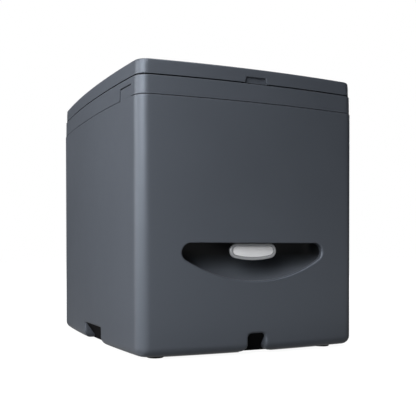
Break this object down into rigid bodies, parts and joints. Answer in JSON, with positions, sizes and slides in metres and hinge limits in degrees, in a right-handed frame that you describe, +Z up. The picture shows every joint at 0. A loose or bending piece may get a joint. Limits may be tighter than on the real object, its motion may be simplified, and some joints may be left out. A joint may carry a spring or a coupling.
{
  "type": "composting toilet",
  "caption": "Compact floor-standing dry toilet: a bowed tub with a crank handle in a smile-shaped recess, a bin and bottle inside, a hinged seat frame and a hinged lid.",
  "frame": {"origin": "on the floor, under the middle of the object's box", "axes": "+X to the right, +Y to the rear, where the hinges, vent and power inlet are, +Z up"},
  "size_m": [0.38, 0.43, 0.4185],
  "materials": {
    "shell": "satin bluish slate grey, finely textured",
    "pan": "satin dark grey",
    "steel": "brushed",
    "rubber": "matt black",
    "socket": "black",
    "bearing": "natural light grey",
    "handle": "satin silver-grey",
    "plate": "satin, bare",
    "bin": "satin dark grey",
    "bottle": "milky, slightly translucent",
    "fan": "black",
    "filter": "open-cell carbon foam",
    "bowl": "glossy white"
  },
  "bodies": {
    "base": {"base_floor": "shell", "base_front": "shell", "base_sides": "shell", "base_rear": "shell", "bin_cradles": "shell", "recess_pan": "pan", "pan_screws": "steel", "rubber_feet": "rubber", "dc_inlet": "socket", "rod_bush": "bearing", "solids_bin": "bin", "front_bush": "bearing", "rear_bush": "bearing", "bottle_front": "bottle", "bottle_rear": "bottle", "bottle_shoulder": "bottle", "bottle_neck": "bottle", "vent_port": "bin", "fan_housing": "fan", "filter_holder": "bin", "carbon_filter": "filter", "fan_screws": "steel", "frame_gasket": "rubber", "frame_hinge_pins": "steel", "latch_pins": "steel"},
    "agitator": {"agitator_shaft": "steel", "stirrer_arms": "steel"},
    "crank": {"pull_rod": "steel", "crank_handle": "handle", "handle_plate": "plate"},
    "fan": {"fan_rotor": "fan"},
    "frame": {"seat_frame": "shell", "diverter_bowl": "bowl", "seat_ring": "shell", "lid_hinge_pins": "steel"},
    "lid": {"lid_shell": "shell", "lid_liner": "pan", "lid_gasket": "rubber", "liner_screws": "steel"},
    "latch_left": {"latch_left": "shell"},
    "latch_right": {"latch_right": "shell"}
  },
  "joints": [
    {"name": "frame_hinge", "type": "hinge", "parent": "base", "child": "frame", "pos_m": [0, 0.21, 0.364], "axis": [-1, 0, 0], "range_deg": [0, 95]},
    {"name": "lid_hinge", "type": "hinge", "parent": "frame", "child": "lid", "pos_m": [0, 0.21, 0.392], "axis": [-1, 0, 0], "range_deg": [0, 105]},
    {"name": "agitator_spin", "type": "hinge", "parent": "base", "child": "agitator", "pos_m": [0, 0, 0.1474], "axis": [0, -1, 0], "continuous": true},
    {"name": "crank_pull", "type": "slide", "parent": "agitator", "child": "crank", "axis": [0, -1, 0], "range_m": [0, 0.05]},
    {"name": "fan_spin", "type": "hinge", "parent": "base", "child": "fan", "pos_m": [0.095, 0, 0.288], "axis": [0, 1, 0], "continuous": true},
    {"name": "latch_left_press", "type": "hinge", "parent": "base", "child": "latch_left", "pos_m": [-0.1726, -0.16, 0.33], "axis": [0, 1, 0], "range_deg": [0, 5], "stiffness_Nm_per_rad": 0.6, "springref_deg": -8.59},
    {"name": "latch_right_press", "type": "hinge", "parent": "base", "child": "latch_right", "pos_m": [0.1726, -0.16, 0.33], "axis": [0, -1, 0], "range_deg": [0, 5], "stiffness_Nm_per_rad": 0.6, "springref_deg": -8.59}
  ]
}
